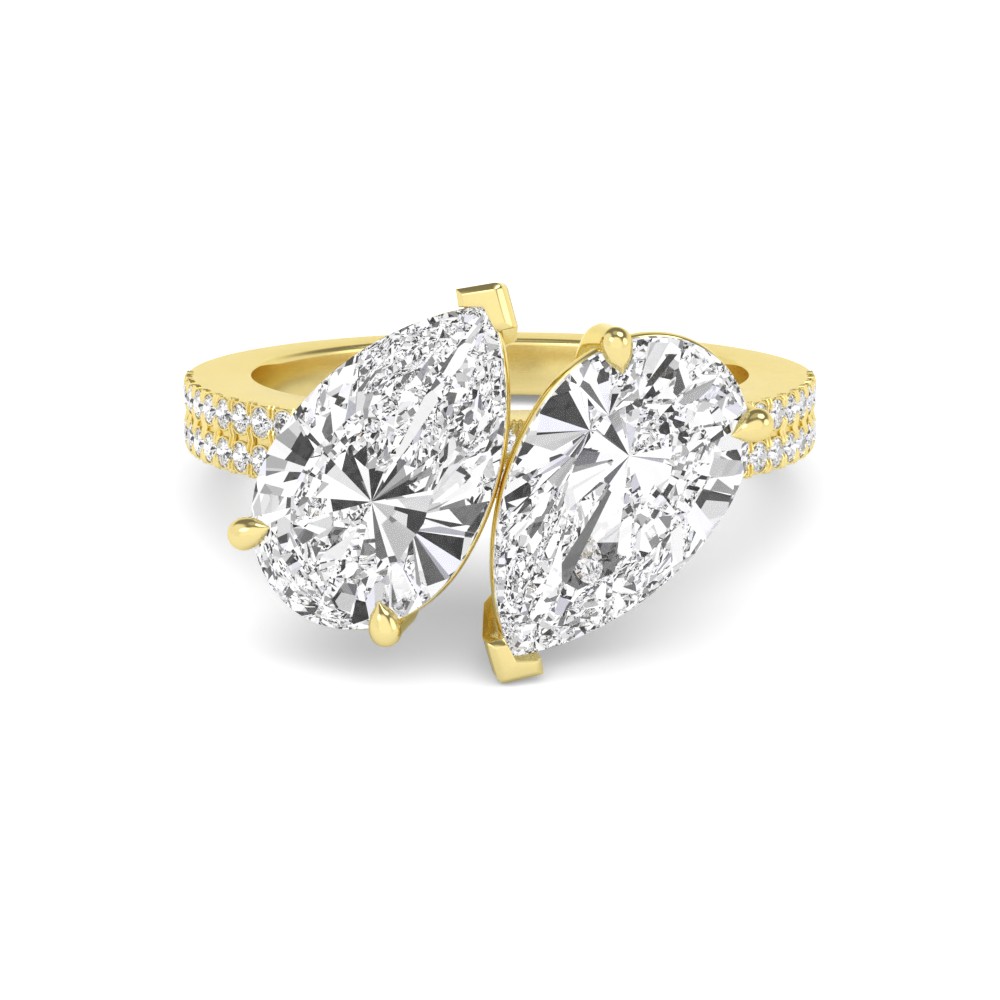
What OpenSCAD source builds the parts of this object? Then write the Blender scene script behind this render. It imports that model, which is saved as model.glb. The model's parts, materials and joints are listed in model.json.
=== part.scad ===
// Toi et moi ring: two pear-cut stones, point to round, over a pave-set gold band.
// The ring is modelled upright round the finger's axis, then laid down as it rests by itself:
// on the lower V-prong and on the back of the band.
// Millimetres. Two axes matter: the finger's axis is Z before the ring is laid down, and
// the head points towards -Y. Half a turn about Y carries one setting onto the other.

/* [Band] */
// Inside diameter, where the finger goes
finger_d = 16.9; // [15:0.1:20]
// Thickness of the band under the head
band_t_head = 2.45; // [2.1:0.05:3]
// Thickness of the band at the back
band_t_back = 1.9; // [1.5:0.05:2.6]
// Width of the band under the head
band_w_head = 2.46; // [2.4:0.02:3]
// Width of the band at the back
band_w_back = 2.06; // [1.9:0.02:3]

/* [Pave] */
// Diameter of a small stone at its girdle
pave_d = 0.97; // [0.9:0.01:0.98]
// Step from one small stone to the next, round the band's outer face
pave_pitch = 1.081; // [1.08:0.001:1.3]
// Distance between the two rows, centre to centre
pave_rows_apart = 1.28; // [1.2:0.01:1.5]
// How far round the rows reach, from the middle of the head to each end
pave_reach = 91; // [60:1:110]
// How far the tables of the small stones stand above the band
pave_proud = 0.1; // [0.05:0.01:0.15]
// How far the cut round a small stone reaches past its girdle
pave_cut = 0.08; // [0.06:0.01:0.1]

/* [Pear stones] */
// Length of a pear stone from its round end to its point
pear_l = 11.24; // [9:0.1:13]
// Greatest width of a pear stone
pear_w = 6.94; // [5.8:0.1:7.6]
// Length of the round end, from the widest place, as a share of half the width
pear_round = 1.17; // [1:0.01:1.25]
// Height of the crown above the girdle
crown_h = 0.95; // [0.7:0.05:1.2]
// Thickness of the girdle
girdle_t = 0.2; // [0.1:0.02:0.3]
// Depth of the pavilion below the girdle
pavilion_h = 2.9; // [2.4:0.05:3]
// Width of the table as a share of the stone
table_share = 0.58; // [0.5:0.01:0.65]

/* [Head] */
// Height of the pear stones' girdles above the band
head_rise = 3.85; // [3.7:0.05:5]
// Distance from the ring's middle to the nearer side of a pear stone's widest place
stone_apart = 0.61; // [0.5:0.01:1]
// How far each stone's widest place sits beyond the band's middle plane
stone_drop = 0.65; // [0.4:0.05:0.9]
// Turn of each stone in its own plane, its point leaning over the other stone
stone_turn = 30.9; // [26:0.1:34]
// Outward turn of each stone, following the finger
stone_yaw = 13.3; // [10:0.1:16]
// Turn of each stone's face towards its point
stone_pitch = 7.6; // [5:0.1:9]

/* [Settings] */
// Height of the gallery rail under a pear stone
rail_h = 0.5; // [0.35:0.05:0.6]
// Thickness of the gallery rail
rail_t = 0.3; // [0.25:0.05:0.45]
// How far the gallery rail stands out past the stone
rail_out = 0.04; // [0:0.01:0.1]
// Thickness of the lower gallery, which is square in section
gallery_t = 0.45; // [0.35:0.05:0.6]
// How far the lower gallery lies inside the stone's outline
gallery_in = 0.85; // [0.7:0.05:1]
// Depth of the stems' knees, and of the lower gallery, below the girdle
knee_depth = 2.2; // [2:0.05:2.4]
// Radius of a claw's round end
claw_r = 0.46; // [0.4:0.02:0.55]
// Length of a claw from the middle of its round end to its tip
claw_l = 0.9; // [0.75:0.05:1]
// Height of the claw's round end above the girdle
claw_up = 0.35; // [0.25:0.05:0.4]
// Distance of the claw's round end outside the stone
claw_out = 0.19; // [0.1:0.01:0.25]
// Slope of a claw, upwards from its round end to its tip
claw_dip = 16; // [10:1:25]
// Fullness of a claw between its round end and its tip
claw_fullness = 1.3; // [1:0.1:2]
// How far a stem leans in from the claw to its knee
knee_in = 0.68; // [0.5:0.02:0.9]
// Radius of a stem at its knee
knee_r = 0.66; // [0.5:0.02:0.7]
// Radius of a leg where it lands on the saddle
leg_r = 0.55; // [0.45:0.05:0.65]
// Height of the saddle above the band
saddle_h = 0.5; // [0.3:0.05:0.7]
// Length of the saddle along the band
saddle_l = 2.7; // [2.4:0.1:3]
// Place of the saddle round the band, from the middle of the head
saddle_at = 16.5; // [16:0.1:18]

/* [V-prongs] */
// How far the V's corner stands out past the stone's point
vee_out = 0.85; // [0.7:0.05:1]
// Length of an arm along its outer edge
vee_arm_l = 1.6; // [1.4:0.05:1.8]
// Width of an arm
vee_arm_w = 0.56; // [0.5:0.02:0.6]
// Angle between an arm's outer edge and the stone's long axis
vee_spread = 48; // [46:1:52]
// Height of the V's top above the girdle
vee_up = 0.7; // [0.6:0.05:0.9]
// How far the inner corner of the V reaches in over the stone's point
vee_wrap = 0.08; // [0:0.02:0.2]
// Bevel round the V's top
vee_bevel = 0.12; // [0.06:0.02:0.15]
// How far the V's foot leans in towards the stone's middle
vee_lean = 1.25; // [1:0.05:1.4]

/* [Clearances] */
// Gap between a stone and the metal that holds it
seat_gap = 0.03; // [0.02:0.01:0.05]

/* [Hidden] */
$fn = 96;
gold = "gold";
diamond = "whitesmoke";

// Band, worked out from the finger and the four sizes above
finger_r = finger_d / 2;
band_r = finger_r + (band_t_head + band_t_back) / 2;
band_shift = (band_t_head - band_t_back) / 2;
head_y = -band_shift - band_r;
back_y = band_r - band_shift;
cut_over = 1;
tube_sides = 12;

// Pave
pave_step = pave_pitch / band_r * 180 / PI;
pave_last = floor((pave_reach - pave_pitch / 2 / band_r * 180 / PI) / pave_step);
pave_rows = [-pave_rows_apart / 2, pave_rows_apart / 2];
pave_table_r = pave_d * 0.29;
pave_crown_h = pave_d * 0.14;
pave_girdle_t = pave_d * 0.05;
pave_pavilion_h = pave_d * 0.42;
pave_top = band_r + pave_proud;

// Pear outline: half an ellipse at the round end, and two arcs that meet in the point
half_w = pear_w / 2;
round_l = half_w * pear_round;
point_l = pear_l - round_l;
flank_r = (point_l * point_l + half_w * half_w) / (2 * half_w);
flank_c = flank_r - half_w;

// Facets: girdle facets, mains, and where stars and lower girdle facets end, as shares of the
// outline, of the crown's height and of the pavilion's depth
girdle_n = 32;
mains = 8;
star_share = 0.79;
star_rise = 0.64;
lower_share = 0.3;
lower_sink = 0.77;

// Head
stone_at = [-half_w - stone_apart, head_y - head_rise, -stone_drop];
claw_at = 137.3;

// Finds the distance from the widest place to the outline, grown by g, in direction a, which
// runs counter-clockwise from the point
function flank_reach(a, g) =
    let (c = -flank_c * abs(sin(a)))
    c + sqrt(c * c + (flank_r + g) * (flank_r + g) - flank_c * flank_c);
function round_reach(a, g) =
    1 / sqrt(pow(sin(a) / (half_w + g), 2) + pow(cos(a) / (round_l + g), 2));
function reach(a, g = 0) = cos(a) >= 0 ? flank_reach(a, g) : round_reach(a, g);
function spot(a, share = 1, g = 0) = share * reach(a, g) * [-sin(a), cos(a)];
function outline(g = 0, share = 1, n = girdle_n) = [for (i = [0 : n - 1]) spot(360 * i / n, share, g)];
function at_height(points, z) = [for (p = points) [p[0], p[1], z]];

// Turns a point of the left stone's own frame into the band's frame
function turn_x(p, a) = [p[0], p[1] * cos(a) - p[2] * sin(a), p[1] * sin(a) + p[2] * cos(a)];
function turn_y(p, a) = [p[0] * cos(a) + p[2] * sin(a), p[1], p[2] * cos(a) - p[0] * sin(a)];
function turn_z(p, a) = [p[0] * cos(a) - p[1] * sin(a), p[0] * sin(a) + p[1] * cos(a), p[2]];
function to_band(p) =
    stone_at + turn_z(turn_x(turn_y(turn_x(p, 90), stone_turn), -stone_pitch), -stone_yaw);
// Turns a point of the band's frame into the left stone's own frame
function to_stone(p) =
    turn_x(turn_y(turn_x(turn_z(p - stone_at, stone_yaw), stone_pitch), -stone_turn), -90);
// Half a turn about Y, which carries the left setting onto the right one
function half_turn(p) = [-p[0], p[1], -p[2]];
// Gives a point over the band's outer face: angle from the head, height along the finger, rise
function on_band(a, z, rise) =
    [(band_r + rise) * sin(a), -band_shift - (band_r + rise) * cos(a), z];

// V-prong: one counter-clockwise loop of six points, inset by e, moved by in_u and squeezed by s
vee_dir = [sin(vee_spread), -cos(vee_spread)];
vee_side = [cos(vee_spread), sin(vee_spread)];
vee_corner = [0, point_l + vee_out];
function vee_half(e) =
    let (end_out = vee_corner + vee_dir * vee_arm_l, end_in = end_out - vee_side * vee_arm_w)
    [
        end_out - vee_side * e - vee_dir * e,
        end_in + vee_side * e - vee_dir * e
    ];
function flip(p) = [-p[0], p[1]];
function vee_loop(z, e, in_u, s) =
    let (half = vee_half(e))
    [
        for (p = [
            vee_corner - [0, e / sin(vee_spread)],
            flip(half[0]),
            flip(half[1]),
            [0, point_l - vee_wrap + e / sin(vee_spread)],
            half[1],
            half[0]
        ]) [p[0] * s, p[1] - in_u, z]
    ];
// Rows: height, inset as a share of vee_bevel, lean as a share of vee_lean, share of the width
vee_rows = [
    [-knee_depth - gallery_t, 0.4, 1, 0.5],
    [-knee_depth + gallery_t / 2, 0, 0.48, 0.85],
    [-girdle_t, 0, 0, 1],
    [vee_up - vee_bevel, 0, 0, 1],
    [vee_up, 1, 0, 1]
];
vee_loops = [for (r = vee_rows) vee_loop(r[0], r[1] * vee_bevel, r[2] * vee_lean, r[3])];
vee_heel = [0, point_l + vee_out - vee_lean - vee_arm_w, -knee_depth - gallery_t];

// Places of a prong in the stone's frame: the claw's heart and tip, and the stem's knee
function unit(v) = v / norm(v);
claw_way = [sin(claw_at), cos(claw_at)];
claw_from = reach(claw_at) + claw_out;
function prong_spot(r, z, side) = [side * r * claw_way[0], r * claw_way[1], z];
function claw_heart(side) = prong_spot(claw_from, claw_up, side);
function claw_tip(side) =
    prong_spot(claw_from - claw_l * cos(claw_dip), claw_up + claw_l * sin(claw_dip), side);
function knee(side) = prong_spot(claw_from - knee_in, -knee_depth, side);

// Feet on the saddle, in the stone's frame: the stems' low and apart, the V's high
foot_along = 0.27;
foot_low = 0.16;
foot_high = 0.2;
foot_step = saddle_l * foot_along / band_r * 180 / PI;
foot_rise = saddle_h / 3;
function claw_foot(side) =
    to_stone(on_band(side * foot_step - saddle_at, -band_w_back * foot_low, foot_rise));
vee_foot = to_stone(on_band(-saddle_at, band_w_back * foot_high, foot_rise));

// Bends the way from a to c round the corner b
function bend(a, b, c) = [for (t = [0 : 0.25 : 1]) (1 - t) * (1 - t) * a + 2 * t * (1 - t) * b + t * t * c];
function prong_path(side) =
    let (foot = claw_foot(side), k = knee(side), top = claw_heart(side))
    concat([foot], bend(foot * 0.35 + k * 0.65, k, k * 0.6 + top * 0.4), [top]);
prong_radii = concat([leg_r], [for (i = [0 : 4]) knee_r], [claw_r * 0.95]);

// Half round at the back, then drawn out to the tip: place along the claw, radius
claw_rows = concat(
    [for (b = [15, 40, 65, 90]) [-claw_r * cos(b), claw_r * sin(b)]],
    [for (t = [0.25, 0.5, 0.75, 0.97]) [claw_l * t, claw_r * (1 - pow(t, claw_fullness))]]
);

// Rest pose: the ring leans on its lower V-prong and on the lower back edge of the band
back_edge = [0, back_y, -band_w_back / 2];
lower_vee = [for (loop = vee_loops) for (p = loop) half_turn(to_band(p))];
rest_tilt = max([for (p = lower_vee) atan2(back_edge[2] - p[2], back_edge[1] - p[1])]);
claw_hearts = [for (side = [-1, 1]) let (p = to_band(claw_heart(side))) for (q = [p, half_turn(p)]) q];
rest_front = min(concat(
    [for (p = lower_vee) turn_x(p, -rest_tilt)[1]],
    [for (p = claw_hearts) turn_x(p, -rest_tilt)[1] - claw_r]
));
rest_back = turn_x([0, back_y, band_w_back / 2], -rest_tilt)[1];
rest_lift = -turn_x(back_edge, -rest_tilt)[2];

module rest_pose() {
    translate([0, -(rest_front + rest_back) / 2, rest_lift]) rotate([-rest_tilt, 0, 0]) children();
}

module on_stone() {
    translate(stone_at)
        rotate([0, 0, -stone_yaw]) rotate([-stone_pitch, 0, 0])
            rotate([0, stone_turn, 0]) rotate([90, 0, 0]) children();
}

module other_side() {
    rotate([0, 180, 0]) children();
}

// Joins counter-clockwise loops of equally many points into one closed solid, lowest loop first
module loft(loops) {
    n = len(loops[0]);
    last = len(loops) - 1;
    points = [for (loop = loops) for (p = loop) p];
    sides = [
        for (k = [0 : last - 1]) for (i = [0 : n - 1])
            let (j = (i + 1) % n)
            [k * n + i, (k + 1) * n + i, (k + 1) * n + j, k * n + j]
    ];
    bottom = [for (i = [0 : n - 1]) i];
    top = [for (i = [n - 1 : -1 : 0]) last * n + i];
    polyhedron(points, concat(sides, [bottom, top]), convexity = 4);
}

// Runs a round bar along a path, with a radius for each point; across is a direction that the
// path never takes
module tube(path, radii, across) {
    last = len(path) - 1;
    loft([
        for (i = [0 : last])
            let (
                way = unit(path[min(i + 1, last)] - path[max(i - 1, 0)]),
                x = unit(cross(across, way)),
                y = cross(way, x)
            )
            [for (a = [0 : 360 / tube_sides : 359]) path[i] + radii[i] * (cos(a) * x + sin(a) * y)]
    ]);
}

// A pear brilliant, grown by g on every side: table, 8 stars, 8 crown mains, upper and lower
// girdle facets, a girdle, 8 pavilion mains and the culet
module pear_brilliant(g = 0) {
    n = girdle_n;
    per = n / mains;
    half_t = girdle_t / 2;
    table = [for (k = [0 : mains - 1]) spot(360 * k / mains, table_share, g)];
    stars = [for (k = [0 : mains - 1]) spot(360 * (k + 0.5) / mains, star_share, g)];
    lowers = [for (k = [0 : mains - 1]) spot(360 * (k + 0.5) / mains, lower_share, g)];
    points = concat(
        at_height(table, half_t + crown_h + g),
        at_height(stars, half_t + crown_h * star_rise + g),
        at_height(outline(g), half_t + g / 2),
        at_height(outline(g), -half_t - g),
        at_height(lowers, -half_t - pavilion_h * lower_sink - g),
        [[0, 0, -half_t - pavilion_h - 2 * g]]
    );
    star_0 = mains;
    upper_0 = 2 * mains;
    under_0 = upper_0 + n;
    lower_0 = under_0 + n;
    culet = lower_0 + mains;
    faces = concat(
        [[for (k = [mains - 1 : -1 : 0]) k]],
        [for (k = [0 : mains - 1]) [k, (k + 1) % mains, star_0 + k]],
        [for (k = [0 : mains - 1]) [k, star_0 + k, upper_0 + k * per]],
        [for (k = [0 : mains - 1]) [k, upper_0 + k * per, star_0 + (k + mains - 1) % mains]],
        [for (k = [0 : mains - 1]) for (i = [0 : per - 1])
            [star_0 + k, upper_0 + (k * per + i + 1) % n, upper_0 + k * per + i]],
        [for (i = [0 : n - 1]) [upper_0 + i, upper_0 + (i + 1) % n, under_0 + (i + 1) % n]],
        [for (i = [0 : n - 1]) [upper_0 + i, under_0 + (i + 1) % n, under_0 + i]],
        [for (k = [0 : mains - 1]) for (i = [0 : per - 1])
            [lower_0 + k, under_0 + k * per + i, under_0 + (k * per + i + 1) % n]],
        [for (k = [0 : mains - 1]) [culet, under_0 + k * per, lower_0 + k]],
        [for (k = [0 : mains - 1]) [culet, lower_0 + (k + mains - 1) % mains, under_0 + k * per]]
    );
    polyhedron(points, faces, convexity = 2);
}

// A small round-cut stone, table up, with its girdle's middle at the origin
module small_brilliant() {
    n = 16;
    half_t = pave_girdle_t / 2;
    girdle_r = pave_d / 2;
    points = concat(
        [for (k = [0 : mains - 1]) let (a = 360 * k / mains)
            [-pave_table_r * sin(a), pave_table_r * cos(a), half_t + pave_crown_h]],
        [for (i = [0 : n - 1]) let (a = 360 * i / n) [-girdle_r * sin(a), girdle_r * cos(a), half_t]],
        [for (i = [0 : n - 1]) let (a = 360 * i / n) [-girdle_r * sin(a), girdle_r * cos(a), -half_t]],
        [[0, 0, -half_t - pave_pavilion_h]]
    );
    upper_0 = mains;
    under_0 = upper_0 + n;
    culet = under_0 + n;
    faces = concat(
        [[for (k = [mains - 1 : -1 : 0]) k]],
        [for (k = [0 : mains - 1]) [k, upper_0 + 2 * k + 1, upper_0 + 2 * k]],
        [for (k = [0 : mains - 1]) [k, (k + 1) % mains, upper_0 + 2 * k + 1]],
        [for (k = [0 : mains - 1]) [(k + 1) % mains, upper_0 + (2 * k + 2) % n, upper_0 + 2 * k + 1]],
        [for (i = [0 : n - 1]) [upper_0 + i, upper_0 + (i + 1) % n, under_0 + (i + 1) % n]],
        [for (i = [0 : n - 1]) [upper_0 + i, under_0 + (i + 1) % n, under_0 + i]],
        [for (i = [0 : n - 1]) [culet, under_0 + i, under_0 + (i + 1) % n]]
    );
    polyhedron(points, faces, convexity = 2);
}

// The saddles take the place of some small stones
saddle_half = ((saddle_l + pave_d) / 2 + pave_cut) / band_r * 180 / PI;
function under_saddle(a) = abs(abs(a) - saddle_at) < saddle_half;

// Puts its children, made with their top towards +Z, at every small stone's girdle
module each_pave_place() {
    girdle_at = pave_top - pave_crown_h - pave_girdle_t / 2;
    for (row = pave_rows, k = [-pave_last : pave_last])
        if (!under_saddle(k * pave_step))
            translate([0, -band_shift, row])
                rotate([0, 0, k * pave_step]) translate([0, -girdle_at, 0]) rotate([90, 0, 0]) children();
}

// The cut round a small stone: open above the girdle, and a cone under it
module pave_seat() {
    mouth_r = pave_d / 2 + pave_cut;
    floor_z = -pave_girdle_t / 2 - seat_gap;
    depth = pave_pavilion_h + 2 * seat_gap;
    rotate_extrude($fn = 24)
        polygon([
            [0, floor_z - depth],
            [pave_d / 2 + seat_gap, floor_z],
            [mouth_r, floor_z],
            [mouth_r, pave_crown_h + cut_over],
            [0, pave_crown_h + cut_over]
        ]);
}

// The band's side faces lean together from the head to the back
module band_blank() {
    y_head = head_y - cut_over;
    y_back = back_y + cut_over;
    slope = (band_w_head - band_w_back) / 2 / (back_y - head_y);
    w_head = band_w_head / 2 + slope * cut_over;
    w_back = band_w_back / 2 - slope * cut_over;
    intersection() {
        translate([0, -band_shift, 0]) cylinder(h = band_w_head + 2 * cut_over, r = band_r, center = true);
        rotate([90, 0, 90])
            linear_extrude(height = 2 * band_r + 2 * cut_over, center = true)
                polygon([[y_head, -w_head], [y_back, -w_back], [y_back, w_back], [y_head, w_head]]);
    }
}

module finger_bore() {
    cylinder(h = band_w_head + 2 * cut_over, r = finger_r, center = true);
}

module gallery_rails() {
    top = -girdle_t / 2 - seat_gap;
    translate([0, 0, top - rail_h])
        linear_extrude(height = rail_h)
            difference() {
                polygon(outline(rail_out));
                polygon(outline(rail_out - rail_t));
            }
    translate([0, 0, -knee_depth - gallery_t / 2])
        linear_extrude(height = gallery_t)
            difference() {
                polygon(outline(-gallery_in));
                polygon(outline(-gallery_in - gallery_t));
            }
}

// A polished drop that lies on the crown, its point inwards
module claw(side) {
    way = unit(claw_tip(side) - claw_heart(side));
    tube([for (r = claw_rows) claw_heart(side) + way * r[0]], [for (r = claw_rows) r[1]], [0, 0, 1]);
}

module prong(side) {
    claw(side);
    tube(prong_path(side), prong_radii, [claw_way[1], -side * claw_way[0], 0]);
}

// One setting, in the left stone's frame
module setting() {
    gallery_rails();
    for (side = [-1, 1]) prong(side);
    loft(vee_loops);
    tube([vee_foot, vee_heel], [leg_r, leg_r], [1, 0, 0]);
}

// A low block, round with the band, that the prongs' feet are soldered to
module saddle() {
    intersection() {
        translate([0, -band_shift, 0])
            cylinder(h = band_w_back * 0.92, r = band_r + saddle_h, center = true);
        translate([0, -band_shift, 0]) rotate([0, 0, -saddle_at])
            translate([-saddle_l / 2, -band_r - saddle_h - cut_over, -band_w_back])
                cube([saddle_l, saddle_h + band_t_back / 2 + cut_over, 2 * band_w_back]);
    }
}

module ring_mount() {
    color(gold) rest_pose() {
        difference() {
            union() {
                difference() {
                    band_blank();
                    each_pave_place() pave_seat();
                    finger_bore();
                }
                on_stone() setting();
                other_side() on_stone() setting();
                saddle();
                other_side() saddle();
            }
            on_stone() pear_brilliant(seat_gap);
            other_side() on_stone() pear_brilliant(seat_gap);
        }
    }
}

module pear_stone_left() {
    color(diamond) rest_pose() on_stone() pear_brilliant();
}

module pear_stone_right() {
    color(diamond) rest_pose() other_side() on_stone() pear_brilliant();
}

module pave_stones() {
    color(diamond) rest_pose() each_pave_place() small_brilliant();
}

ring_mount();
pear_stone_left();
pear_stone_right();
pave_stones();
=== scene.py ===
"""Looks of a toi et moi ring: gold band, claw settings, pear-cut stones and pave rows.

Sizes are in millimetres in the classes, as a jeweller gives them, and become metres when a
piece is made. A piece is shaped in the ring's own frame (the finger's axis is Z, the head is
towards -Y) or in a stone's frame (table up, point towards +Y), and is then carried to where
the ring rests. The rest pose is read from the frame's finger hole.
"""

import json
import logging
import math
from dataclasses import dataclass, field
from enum import Enum
from typing import Sequence

import bmesh
import bpy
from mathutils import Matrix, Vector


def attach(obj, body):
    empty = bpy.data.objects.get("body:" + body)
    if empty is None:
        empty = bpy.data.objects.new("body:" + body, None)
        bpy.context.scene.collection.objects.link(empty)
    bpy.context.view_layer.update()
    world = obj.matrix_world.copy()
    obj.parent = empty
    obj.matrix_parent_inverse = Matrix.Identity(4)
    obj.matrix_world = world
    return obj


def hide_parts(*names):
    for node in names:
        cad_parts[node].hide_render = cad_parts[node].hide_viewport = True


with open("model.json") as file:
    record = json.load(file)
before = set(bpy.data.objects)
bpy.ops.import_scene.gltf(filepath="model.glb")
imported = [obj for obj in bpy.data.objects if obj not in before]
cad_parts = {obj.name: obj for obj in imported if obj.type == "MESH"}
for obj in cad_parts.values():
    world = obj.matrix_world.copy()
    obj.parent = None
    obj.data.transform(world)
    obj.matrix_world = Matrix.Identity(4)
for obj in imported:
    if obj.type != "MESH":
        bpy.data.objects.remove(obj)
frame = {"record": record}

log = logging.getLogger("toi_et_moi")
MM = 0.001
MICRON = 1e-6
ROOT = "root"

# Points closer than this, in millimetres, are one: on finished pieces, on the band, on a facet
FINE_WELD = 1e-5
WELD = 1e-4
ON_PLANE = 1e-6


class Slot(Enum):
    """Material slots of the record."""

    GOLD = "gold"
    DIAMOND = "diamond"


def turn(axis: str, degrees: float) -> Matrix:
    """Returns a rotation about one axis.

    Args:
        axis: "X", "Y" or "Z".
        degrees: Angle by the right-hand rule.

    Returns:
        The 4x4 matrix.
    """
    return Matrix.Rotation(math.radians(degrees), 4, axis)


@dataclass(frozen=True)
class RestPose:
    """Where the ring lies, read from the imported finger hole."""

    mount_name: str = "finger_hole"

    def matrix(self) -> Matrix:
        """Works out how the ring lies.

        Returns:
            The matrix from the ring's own frame, in metres, to the row's frame.
        """
        mount = next(m for m in frame["record"]["mounts"] if m["name"] == self.mount_name)
        axis = Vector(mount["axis"])
        lean = math.degrees(math.atan2(axis.y, axis.z))
        return Matrix.Translation(Vector(mount["pos_m"])) @ turn("X", -lean)


REST = RestPose().matrix()


def make_piece(
    name: str,
    bm: bmesh.types.BMesh,
    material: bpy.types.Material,
    slot: Slot,
    place: Matrix | None = None,
    sharp_deg: float = 30.0,
) -> bpy.types.Object:
    """Makes an object of a bmesh that was shaped in millimetres, and fastens it to the ring.

    Args:
        name: Name of the piece.
        bm: The shape, which is freed.
        material: Its finish.
        slot: The record's material slot.
        place: Matrix in millimetres from the shape's frame to the ring's own frame.
        sharp_deg: Edges that turn by more than this stay sharp. At 0 each face is flat.

    Returns:
        The new object.
    """
    bmesh.ops.remove_doubles(bm, verts=bm.verts, dist=FINE_WELD)
    bmesh.ops.recalc_face_normals(bm, faces=bm.faces)
    for edge in bm.edges:
        if edge.calc_face_angle(0) > math.radians(sharp_deg):
            edge.smooth = False
    mesh = bpy.data.meshes.new(name)
    bm.to_mesh(mesh)
    bm.free()
    mesh.transform(REST @ Matrix.Scale(MM, 4) @ (place or Matrix.Identity(4)))
    mesh.polygons.foreach_set("use_smooth", [sharp_deg > 0] * len(mesh.polygons))
    mesh.materials.append(material)
    piece = bpy.data.objects.new(name, mesh)
    bpy.context.scene.collection.objects.link(piece)
    piece.visible_transmission = slot is not Slot.GOLD
    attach(piece, ROOT)
    log.info("%s: %d faces", name, len(mesh.polygons))
    return piece


def skin(bm: bmesh.types.BMesh, loops: Sequence[Sequence[Vector]], closed: bool = False) -> None:
    """Joins loops of points, each to the next one.

    Args:
        bm: The bmesh that gets the shape.
        loops: Loops of equally many points, from one end to the other.
        closed: Whether the last loop is joined to the first. If not, both ends get a face.
    """
    ring = [bm.verts.new(p) for p in loops[0]]
    edges = [bm.edges.new(pair) for pair in zip(ring, ring[1:] + ring[:1])]
    ends = [edges]
    for loop in [*loops[1:], loops[0]] if closed else loops[1:]:
        drawn = bmesh.ops.extrude_edge_only(bm, edges=edges)["geom"]
        fresh = {g for g in drawn if isinstance(g, bmesh.types.BMVert)}
        edges = [g for g in drawn if isinstance(g, bmesh.types.BMEdge)]
        steps = [(edge.other_vert(vert), vert) for vert in fresh for edge in vert.link_edges]
        next_to = {old: new for old, new in steps if old not in fresh}
        ring = [next_to[v] for v in ring]
        for vert, p in zip(ring, loop):
            vert.co = p
        edges = [e for e in edges if e.verts[0] in fresh and e.verts[1] in fresh]
    ends.append(edges)
    if not closed:
        for end in ends:
            bmesh.ops.edgeloop_fill(bm, edges=end)


def bar(
    bm: bmesh.types.BMesh,
    path: Sequence[Vector],
    radii: Sequence[float],
    across: Vector,
    sides: int = 24,
    flatness: float = 1.0,
) -> None:
    """Runs a round bar along a path.

    Args:
        bm: The bmesh that gets the bar.
        path: Middle of the bar, station by station.
        radii: Its radius at each station.
        across: A direction that the path never takes.
        sides: How many sides it has.
        flatness: Its thickness along across, as a share of its width.
    """
    last = len(path) - 1
    loops = []
    for i, (spot, radius) in enumerate(zip(path, radii)):
        way = (path[min(i + 1, last)] - path[max(i - 1, 0)]).normalized()
        x = across.cross(way).normalized()
        y = way.cross(x) * flatness
        turns = [math.tau * k / sides for k in range(sides)]
        loops.append([spot + radius * (math.cos(t) * x + math.sin(t) * y) for t in turns])
    skin(bm, loops)


def between(start: Vector, end: Vector, share: float) -> Vector:
    """Returns the point that is a share of the way from start to end."""
    return start * (1 - share) + end * share


def bent(start: Vector, knee: Vector, end: Vector, count: int) -> list[Vector]:
    """Returns points on the curve from start to end that is drawn towards a knee."""
    steps = [i / (count - 1) for i in range(count)]
    return [(1 - t) ** 2 * start + 2 * t * (1 - t) * knee + t * t * end for t in steps]


def soften(bm: bmesh.types.BMesh, width: float, segments: int, least_deg: float) -> None:
    """Rounds the edges of a shape that turn by more than an angle.

    Args:
        bm: The shape.
        width: How far from the edge the rounding starts.
        segments: How many strips it has.
        least_deg: The angle.
    """
    least = math.radians(least_deg)
    edges = [e for e in bm.edges if e.is_manifold and e.calc_face_angle(0) > least]
    bmesh.ops.bevel(
        bm,
        geom=edges,
        offset=width,
        offset_type="OFFSET",
        segments=segments,
        profile=0.5,
        affect="EDGES",
        material=-1,
    )


def carved(body: bmesh.types.BMesh, tool: bmesh.types.BMesh) -> bmesh.types.BMesh:
    """Cuts one closed shape out of another.

    Args:
        body: The shape that is cut. It is freed.
        tool: What is taken away. It is freed.

    Returns:
        The cut shape.
    """
    pair = []
    for name, bm in (("blank", body), ("cutter", tool)):
        bmesh.ops.recalc_face_normals(bm, faces=bm.faces)
        mesh = bpy.data.meshes.new(name)
        bm.to_mesh(mesh)
        bm.free()
        pair.append(bpy.data.objects.new(name, mesh))
        bpy.context.scene.collection.objects.link(pair[-1])
    cut = pair[0].modifiers.new("cut", "BOOLEAN")
    cut.object = pair[1]
    cut.solver = "EXACT"
    bpy.context.view_layer.update()
    done = pair[0].evaluated_get(bpy.context.evaluated_depsgraph_get())
    mesh = bpy.data.meshes.new_from_object(done)
    result = bmesh.new()
    result.from_mesh(mesh)
    bpy.data.meshes.remove(mesh)
    for item in pair:
        bpy.data.meshes.remove(item.data)
    return result


# Finishes


def math_node(
    tree: bpy.types.NodeTree, operation: str, first: object, second: object = None
) -> bpy.types.NodeSocket:
    """Adds a Math node.

    Args:
        tree: Tree that gets the node.
        operation: Name of the operation, such as "MULTIPLY".
        first: A socket or a number.
        second: A socket, a number or None.

    Returns:
        The node's output.
    """
    node = tree.nodes.new("ShaderNodeMath")
    node.operation = operation
    for socket, value in zip(node.inputs, (first, second)):
        if isinstance(value, bpy.types.NodeSocket):
            tree.links.new(value, socket)
        elif value is not None:
            socket.default_value = value
    return node.outputs[0]


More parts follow.
